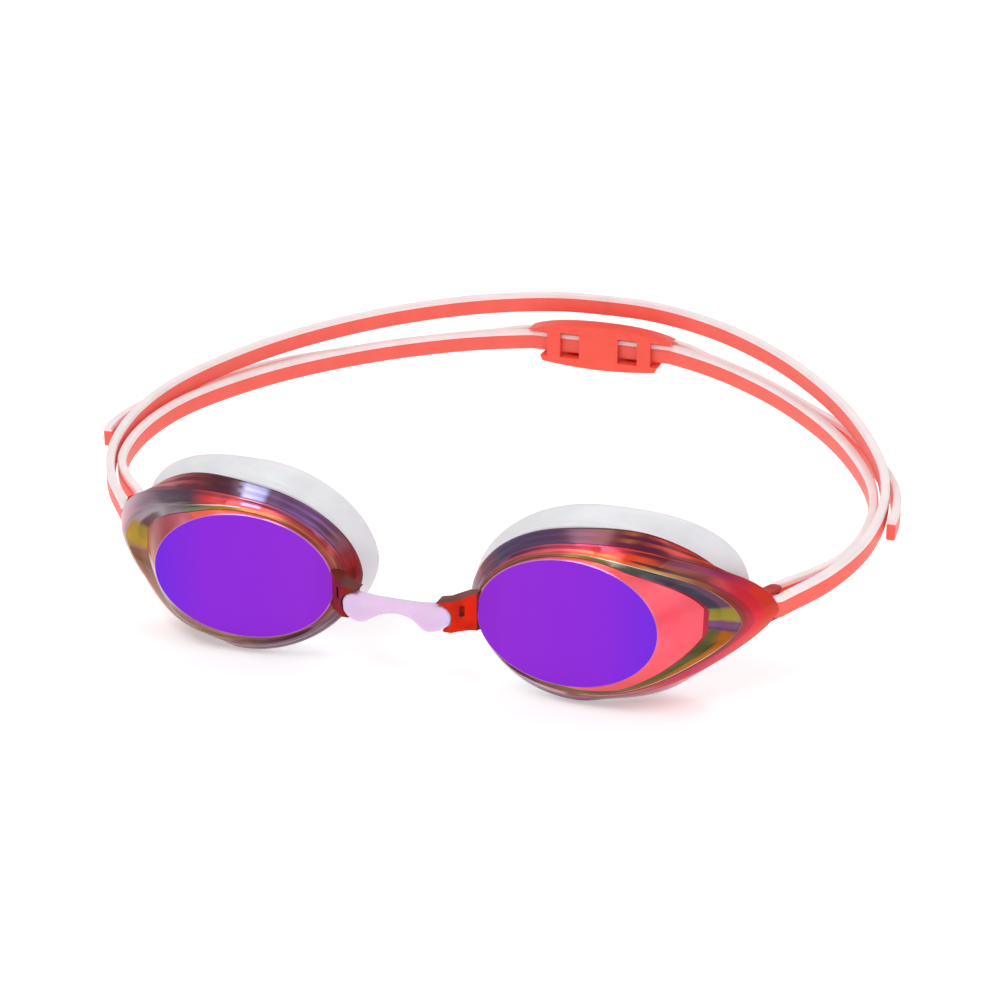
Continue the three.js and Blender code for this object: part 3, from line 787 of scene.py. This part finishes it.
def lower_point(distance):
    """The lower band leaves the bar's inner side, closes up to the route and passes through the clip."""
    place, outward, _ = on_route(distance)
    merge = smoothstep(distance, BAND_START - 3, 22)
    place = place - outward * (2 * LOOP_RADIUS + (LAYER_PITCH - 2 * LOOP_RADIUS) * merge)
    if place[1] > CLIP_Y:
        place[1], outward = CLIP_Y, np.array([0.0, 1.0])
    return (*place, band_height(distance, LOWER_REAR_HEIGHT, LOWER_RISE)), outward


def tail_point(distance, mirror):
    """The tail lies outside the lower band, then rises, and springs away from it at its tip."""
    place, outward, _ = on_route(distance)
    share = distance / ROUTE_LENGTH
    outside = 1 - smoothstep(share, 0.47, 0.62)
    splay = 1 - smoothstep(share, TAIL_END[mirror], TAIL_END[mirror] + 0.18)
    place = place + outward * (LAYER_PITCH * outside + TAIL_SPLAY[mirror] * splay)
    near_clip = 1 - smoothstep(place[0], 13, 30)
    place[1] += (CLIP_Y + TAIL_LIFT - place[1]) * near_clip
    height = band_height(distance, LOWER_REAR_HEIGHT, LOWER_RISE)
    height += TAIL_LIFT_AT_TIP * (1 - smoothstep(share, 0.16, 0.46))
    height -= TAIL_DROP * (1 - smoothstep(share, 0.75, 0.93))
    return (*place, height), outward


def strap_outline():
    """The section across the band, with rounded corners, and the height where its white edge begins."""
    half_thickness, half_width, corner = STRAP_THICKNESS / 2, STRAP_WIDTH / 2, 0.45
    a, b = half_thickness - corner, half_width - corner
    joint = half_width - WHITE_EDGE
    points = []
    for centre, start in (((a, b), 0), ((-a, b), 90), ((-a, -b), 180), ((a, -b), 270)):
        points += arc(centre, corner, start, start + 90, 5)
        if start == 90:
            points += [(-half_thickness, joint + 0.05), (-half_thickness, joint - 0.05)]
        if start == 270:
            points += [(half_thickness, joint - 0.05), (half_thickness, joint + 0.05)]
    return points, joint


def swept_band(name, stations, mirror, materials):
    """A two-tone band through stations of (centre, outward), white along its upper edge."""
    outline, joint = strap_outline()
    size = len(outline)
    points = []
    for (x, y, z), outward in stations:
        points += [(x + a * outward[0], y + a * outward[1], z + b) for a, b in outline]
    faces = ring_faces(len(stations), size)
    slots = []
    for _ in range(len(stations) - 1):
        for i in range(size):
            j = (i + 1) % size
            slots.append(1 if min(outline[i][1], outline[j][1]) > joint else 0)
    white = [i for i in range(size) if outline[i][1] > joint]
    coral = [i for i in range(size) if outline[i][1] < joint]
    seam = [white[-2], coral[0], coral[-1], white[-1]]
    for start in (0, (len(stations) - 1) * size):
        faces += [tuple(start + i for i in part) for part in (white, coral, seam)]
        slots += [1, 0, 0]
    piece = new_mesh(name, points, faces, materials, slots, mirror)
    mark_sharp(piece, 50)
    return piece


def loop_arc(start, end):
    """Stations of the U round the slot bar, from one turn to another, in degrees."""
    _, outward, along = on_route(0)
    stations = []
    for turn in np.radians(np.linspace(start, end, 13)):
        away = outward * math.cos(turn) - along * math.sin(turn)
        centre = np.array([BAR_X, BAR_Y]) + away * LOOP_RADIUS
        stations.append(((*centre, BAR_Z), away))
    return stations


def upper_strap(name, mirror, materials):
    stations = loop_arc(90, 8)
    stations += [upper_point(d) for d in np.linspace(0, ROUTE_LENGTH - SEAM_GAP, 120)]
    return swept_band(name, stations, mirror, materials)


def lower_strap(name, mirror, materials):
    """The U round the bar, the lower band, its fold behind the clip, and the tail that runs forward."""
    stations = [(place, -away) for place, away in loop_arc(90, 172)]
    stations += [lower_point(d) for d in np.linspace(0, ROUTE_LENGTH - FOLD_X, 120)]
    radius = TAIL_LIFT / 2
    for turn in np.radians(np.linspace(12, 168, 14)):
        x = FOLD_X - radius * math.sin(turn)
        y = CLIP_Y + radius - radius * math.cos(turn)
        stations.append(((x, y, LOWER_REAR_HEIGHT), np.array([math.sin(turn), math.cos(turn)])))
    for distance in np.linspace(ROUTE_LENGTH - FOLD_X, ROUTE_LENGTH * TAIL_END[mirror], 90):
        place, outward = tail_point(distance, mirror)
        stations.append((place, -outward))
    return swept_band(name, stations, mirror, materials)


# ---- The object's materials ----

# Colours of the coating round each eyecup, as (share of a turn, colour): 0 is the outer point, 0.25 above,
# 0.5 the nose and 0.75 below. They are the plastic's own tints with painted reflections of the studio's soft
# lights in them, lighter and darker, such as the lilac patches. Where a strip has two rows, the first is its
# front edge.
TINTS_AND_PAINTED_REFLECTIONS = {
    "right": {
        "panel": [[
            (0, (255, 88, 106)), (0.1, (255, 92, 108)), (0.16, (250, 98, 98)), (0.3, (232, 96, 92)),
            (0.5, (200, 110, 120)), (0.7, (225, 95, 100)), (0.88, (240, 84, 92)), (0.95, (255, 88, 104)),
        ]],
        "facets": [[
            (0, (150, 134, 40)), (0.012, (132, 122, 34)), (0.015, (66, 52, 80)), (0.04, (62, 54, 74)),
            (0.09, (58, 54, 66)), (0.14, (84, 88, 80)), (0.2, (112, 104, 44)),
            (0.26, (160, 122, 28)), (0.33, (110, 80, 50)), (0.5, (130, 70, 50)), (0.7, (120, 100, 40)),
            (0.8, (98, 92, 34)), (0.96, (84, 86, 44)), (0.984, (92, 90, 42)), (0.987, (52, 24, 34)),
            (0.99, (110, 66, 116)), (0.997, (112, 60, 100)),
        ], [
            (0, (150, 134, 44)), (0.012, (140, 126, 40)), (0.015, (96, 60, 84)), (0.05, (96, 60, 84)),
            (0.09, (80, 76, 84)), (0.14, (104, 104, 92)), (0.2, (96, 100, 60)),
            (0.3, (120, 84, 50)), (0.5, (130, 70, 50)), (0.7, (120, 100, 40)), (0.84, (90, 88, 36)),
            (0.9, (150, 92, 22)), (0.984, (192, 104, 10)), (0.987, (62, 26, 40)), (0.99, (120, 74, 110)),
            (0.997, (116, 60, 96)),
        ]],
        "band": [[
            (0, (150, 50, 44)), (0.03, (150, 58, 48)), (0.06, (166, 104, 60)), (0.1, (206, 152, 92)),
            (0.13, (214, 110, 50)), (0.16, (234, 92, 30)), (0.22, (226, 66, 44)), (0.3, (202, 62, 64)),
            (0.5, (120, 60, 60)), (0.7, (130, 88, 80)), (0.8, (110, 60, 60)), (0.9, (140, 66, 58)),
            (0.96, (124, 58, 60)),
        ], [
            (0, (192, 36, 60)), (0.03, (150, 36, 56)), (0.07, (104, 54, 58)), (0.11, (84, 46, 50)),
            (0.135, (120, 44, 44)), (0.15, (238, 52, 60)), (0.21, (246, 128, 58)), (0.28, (240, 98, 108)),
            (0.5, (112, 70, 90)), (0.7, (190, 130, 140)), (0.8, (236, 108, 120)), (0.88, (192, 68, 70)),
            (0.95, (186, 40, 78)),
        ]],
        "plate": [[
            (0, (226, 34, 46)), (0.03, (208, 36, 58)), (0.06, (128, 48, 44)), (0.1, (126, 58, 42)),
            (0.13, (236, 78, 34)), (0.2, (240, 58, 52)), (0.28, (236, 88, 108)), (0.36, (150, 76, 104)),
            (0.5, (112, 70, 92)), (0.7, (152, 110, 120)), (0.8, (150, 78, 90)), (0.87, (166, 58, 62)),
            (0.93, (192, 38, 92)), (0.97, (226, 34, 50)),
        ], [
            (0, (208, 50, 24)), (0.02, (226, 44, 28)), (0.05, (140, 26, 84)), (0.09, (104, 20, 60)),
            (0.14, (116, 30, 40)), (0.18, (226, 46, 86)), (0.24, (226, 60, 104)), (0.3, (182, 68, 92)),
            (0.4, (84, 62, 92)), (0.5, (100, 64, 84)), (0.65, (176, 150, 160)), (0.78, (160, 86, 98)),
            (0.86, (178, 62, 74)), (0.93, (206, 50, 80)), (0.98, (222, 60, 30)),
        ]],
        "wall": [[
            (0, (212, 28, 38)), (0.08, (120, 40, 22)), (0.13, (92, 20, 56)), (0.19, (112, 28, 66)),
            (0.25, (118, 52, 82)), (0.31, (96, 62, 104)), (0.42, (76, 62, 96)), (0.47, (120, 60, 70)),
            (0.52, (150, 120, 130)), (0.6, (176, 156, 165)), (0.68, (142, 106, 118)), (0.77, (122, 66, 80)),
            (0.86, (176, 48, 70)), (0.95, (220, 40, 48)),
        ], [
            (0, (202, 40, 30)), (0.1, (200, 62, 46)), (0.13, (198, 68, 66)), (0.15, (128, 44, 34)),
            (0.168, (172, 94, 48)), (0.19, (112, 54, 36)), (0.25, (100, 48, 60)), (0.34, (80, 56, 86)),
            (0.42, (84, 70, 100)), (0.47, (150, 70, 70)), (0.52, (164, 140, 150)), (0.62, (178, 158, 168)),
            (0.72, (138, 98, 110)), (0.8, (130, 62, 78)), (0.88, (188, 54, 76)), (0.95, (212, 42, 42)),
        ]],
        # The line strip is a painted highlight along a crease, near white where the light would catch it.
        "highlight_line": [[
            (0, (150, 96, 90)), (0.03, (190, 150, 130)), (0.05, (120, 84, 90)), (0.1, (226, 200, 190)),
            (0.17, (250, 226, 220)), (0.23, (170, 120, 50)), (0.5, (150, 90, 90)), (0.72, (170, 120, 110)),
            (0.82, (120, 100, 60)), (0.9, (236, 196, 176)), (0.96, (250, 220, 200)), (0.985, (140, 80, 80)),
        ]],
        "inside": [[(0, (214, 72, 92)), (0.5, (190, 70, 110))]],
        "fork": (238, 40, 8),
        "fork_edge": (126, 60, 58),
    },
    "left": {
        "panel": [[
            (0, (196, 104, 56)), (0.03, (160, 60, 60)), (0.07, (168, 58, 72)), (0.11, (206, 108, 120)),
            (0.135, (200, 96, 104)), (0.14, (240, 96, 72)), (0.25, (236, 94, 70)), (0.4, (200, 90, 70)),
            (0.5, (150, 60, 50)), (0.7, (150, 96, 96)), (0.9, (150, 110, 98)), (0.935, (196, 190, 208)),
            (0.983, (208, 202, 218)), (0.99, (186, 108, 40)),
        ]],
        "facets": [[
            (0, (160, 128, 14)), (0.017, (150, 120, 16)), (0.022, (104, 36, 48)), (0.05, (92, 50, 60)),
            (0.068, (150, 134, 142)), (0.11, (134, 122, 128)), (0.15, (130, 142, 96)), (0.2, (150, 128, 26)),
            (0.25, (196, 138, 40)), (0.33, (150, 80, 40)), (0.5, (140, 44, 40)), (0.7, (124, 92, 52)),
            (0.84, (122, 96, 54)), (0.93, (150, 102, 84)), (0.985, (152, 104, 84)), (0.992, (160, 126, 20)),
        ], [
            (0, (172, 134, 12)), (0.017, (158, 122, 18)), (0.025, (150, 132, 140)), (0.1, (140, 126, 132)),
            (0.15, (108, 96, 90)), (0.2, (140, 126, 60)), (0.3, (160, 100, 40)), (0.5, (130, 40, 40)),
            (0.7, (120, 88, 60)), (0.84, (126, 98, 62)), (0.93, (158, 106, 88)), (0.985, (150, 100, 80)),
            (0.992, (168, 132, 14)),
        ]],
        "band": [[
            (0, (150, 122, 128)), (0.05, (150, 124, 138)), (0.1, (136, 118, 124)), (0.14, (94, 80, 80)),
            (0.18, (196, 60, 60)), (0.28, (204, 60, 58)), (0.35, (190, 88, 60)), (0.45, (170, 70, 42)),
            (0.55, (120, 60, 60)), (0.7, (122, 88, 62)), (0.82, (140, 96, 76)), (0.93, (150, 102, 86)),
            (0.97, (164, 122, 66)),
        ], [
            (0, (206, 126, 140)), (0.04, (150, 112, 132)), (0.08, (100, 80, 92)), (0.14, (88, 64, 80)),
            # From 0.262 to 0.3 the left band, plate and wall are painted with a lilac reflection of a soft
            # light.
            (0.18, (222, 62, 58)), (0.255, (226, 74, 80)), (0.262, (226, 160, 212)), (0.3, (222, 150, 200)),
            (0.307, (196, 66, 72)), (0.45, (150, 50, 44)), (0.6, (112, 80, 90)), (0.75, (150, 112, 108)),
            (0.9, (160, 106, 96)), (0.96, (208, 122, 116)),
        ]],
        "plate": [[
            (0, (216, 128, 146)), (0.04, (150, 108, 130)), (0.08, (96, 74, 88)), (0.14, (84, 58, 78)),
            (0.18, (214, 60, 62)), (0.25, (226, 96, 104)), (0.262, (226, 160, 212)), (0.3, (222, 150, 200)),
            (0.31, (182, 70, 90)), (0.45, (160, 52, 46)), (0.6, (112, 82, 92)), (0.75, (150, 108, 112)),
            (0.88, (172, 110, 104)), (0.96, (212, 126, 126)),
        ], [
            (0, (188, 130, 150)), (0.04, (150, 110, 130)), (0.08, (96, 70, 96)), (0.14, (88, 56, 72)),
            (0.18, (160, 50, 62)), (0.25, (190, 70, 80)), (0.3, (150, 60, 80)), (0.4, (150, 100, 160)),
            (0.46, (150, 30, 36)), (0.6, (120, 94, 108)), (0.75, (140, 104, 110)), (0.9, (186, 124, 122)),
        ]],
        "wall": [[
            (0, (180, 120, 140)), (0.08, (140, 80, 90)), (0.13, (116, 48, 70)), (0.2, (86, 34, 56)),
            (0.25, (78, 40, 74)), (0.262, (176, 170, 220)), (0.3, (166, 160, 212)), (0.31, (96, 56, 98)),
            (0.4, (140, 96, 160)), (0.45, (92, 52, 80)), (0.48, (176, 34, 40)), (0.53, (104, 40, 40)),
            (0.6, (112, 86, 102)), (0.75, (122, 88, 96)), (0.86, (132, 96, 84)), (0.95, (190, 130, 130)),
        ], [
            (0, (190, 130, 140)), (0.1, (206, 120, 126)), (0.15, (150, 60, 62)), (0.19, (84, 34, 38)),
            (0.24, (72, 34, 48)), (0.262, (150, 144, 190)), (0.3, (140, 134, 184)), (0.31, (70, 42, 70)),
            (0.38, (112, 72, 120)), (0.43, (84, 36, 48)), (0.48, (150, 44, 44)), (0.53, (90, 34, 34)),
            (0.6, (150, 126, 138)), (0.72, (168, 140, 150)), (0.85, (160, 124, 116)), (0.95, (190, 130, 130)),
        ]],
        # The line strip is a painted highlight along a crease, as on the right eyecup.
        "highlight_line": [[
            (0, (180, 140, 70)), (0.04, (150, 128, 136)), (0.12, (130, 120, 110)), (0.18, (236, 226, 236)),
            (0.23, (236, 220, 226)), (0.28, (200, 110, 70)), (0.4, (206, 120, 90)), (0.5, (150, 70, 60)),
            (0.8, (150, 110, 80)), (0.93, (176, 126, 110)),
        ]],
        "inside": [[(0, (206, 72, 96)), (0.5, (186, 66, 110))]],
        "fork": (150, 34, 26),
        "fork_edge": (110, 36, 30),
    },
}


def frame_materials(side):
    """The finishes of one eyecup, in the order that eyecup_shell names them."""
    tints_and_painted_reflections = TINTS_AND_PAINTED_REFLECTIONS[side]
    # The window's bevel is painted a pink and lilac highlight all round.
    edge = [[(0, (226, 120, 150)), (0.2, (210, 130, 200)), (0.5, (200, 120, 200)), (0.8, (170, 80, 140))]]
    # The coated strips' colours hold painted reflections as well as the plastic's tints.
    return [
        window_mirror(f"{side}_mirror"),
        coated(f"{side}_window_edge_highlight", *edge),
        coated(f"{side}_panel", *tints_and_painted_reflections["panel"], roughness=0.3, metallic=0.15, coat=0.1, contrast=0.15),
        coated(f"{side}_panel_edge", [(0, (176, 16, 54)), (0.04, (140, 20, 50)), (0.5, (140, 60, 70))]),
        coated(f"{side}_facets", *tints_and_painted_reflections["facets"], metallic=0.45, contrast=0.3),
        coated(f"{side}_line", *tints_and_painted_reflections["highlight_line"]),
        coated(f"{side}_band", *tints_and_painted_reflections["band"]),
        coated(f"{side}_plate", *tints_and_painted_reflections["plate"], contrast=0.2),
        coated(f"{side}_wall", *tints_and_painted_reflections["wall"], contrast=0.15),
        coated(f"{side}_inside", *tints_and_painted_reflections["inside"], metallic=0.15),
        tinted(f"{side}_inner_window", (104, 54, 176)),
    ]


def silicone(name, colour, subsurface=0.25, roughness=0.42):
    """Smooth moulded silicone with a faint satin grain."""
    material = plain(name, colour, roughness=roughness, specular=0.35, subsurface=subsurface)
    dark = tuple(c * 0.975 for c in colour)
    tint = colour_ramp(material, noise(material, 160), [(0.35, dark), (0.65, colour)])
    set_base_colour(material, tint)
    add_bump(material, noise(material, 1400, 4), 0.00003, 0.25)
    return material


# ---- Building ----

# Where each band bends beside the slot loop, on the axes of its swing joint.
SWINGS = {"upper": (83.4, 29.42, 2.21), "lower": (80, 32.7, 1.79)}


def beside_swing(band, mirror, ahead):
    """A point this far ahead of the place where a band bends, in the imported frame."""
    x, y, z = SWINGS[band]
    return ORIGIN + Vector((x * mirror, y + ahead, z)) * MM


add_camera()
add_studio()
add_floor()

STRAP_CORAL = silicone("strap_coral", (255, 106, 92))
STRAP_WHITE = silicone("strap_white", (252, 236, 236))
GASKET_WHITE = silicone("gasket_white", (233, 234, 238), subsurface=0.4, roughness=0.35)
LILAC = silicone("nosepiece_lilac", (231, 203, 237), subsurface=0.4, roughness=0.38)
CLIP_CORAL = silicone("clip_coral", (255, 92, 74), subsurface=0.1, roughness=0.36)

soft_nose = nosepiece([LILAC])
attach(soft_nose, "nosepiece")
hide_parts("nosepiece")

for side, mirror in SIDES:
    shell = eyecup_shell(f"{side}_shell", mirror, frame_materials(side))
    fork_finish = [tinted(f"{side}_{name}", TINTS_AND_PAINTED_REFLECTIONS[side][name]) for name in ("fork", "fork_edge")]
    fork = nose_fork(f"{side}_nose_fork", mirror, fork_finish)
    bar = strap_bar(f"{side}_strap_bar", mirror, [tinted(f"{side}_bar", (206, 52, 46))])
    for piece in (shell, fork, bar):
        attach(piece, f"{side}_eyecup")
        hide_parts(f"{side}_eyecup")

    seal = gasket(f"{side}_soft_gasket", mirror, [GASKET_WHITE])
    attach(seal, f"{side}_eyecup")
    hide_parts(f"{side}_gasket")

    upper = upper_strap(f"{side}_upper_strap", mirror, [STRAP_CORAL, STRAP_WHITE])
    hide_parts(f"{side}_upper_band", f"{side}_slot_loop")
    lower = lower_strap(f"{side}_lower_strap", mirror, [STRAP_CORAL, STRAP_WHITE])
    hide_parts(f"{side}_lower_band")
    for piece, band in ((upper, "upper"), (lower, "lower")):
        start, end = beside_swing(band, mirror, -2.5), beside_swing(band, mirror, 2.5)
        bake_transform(piece)

clip = bpy.data.objects["rear_clip"]
for slot in clip.material_slots:
    slot.material = CLIP_CORAL
modifier(clip, "BEVEL", width=0.3 * MM, segments=3, angle_limit=math.radians(40))
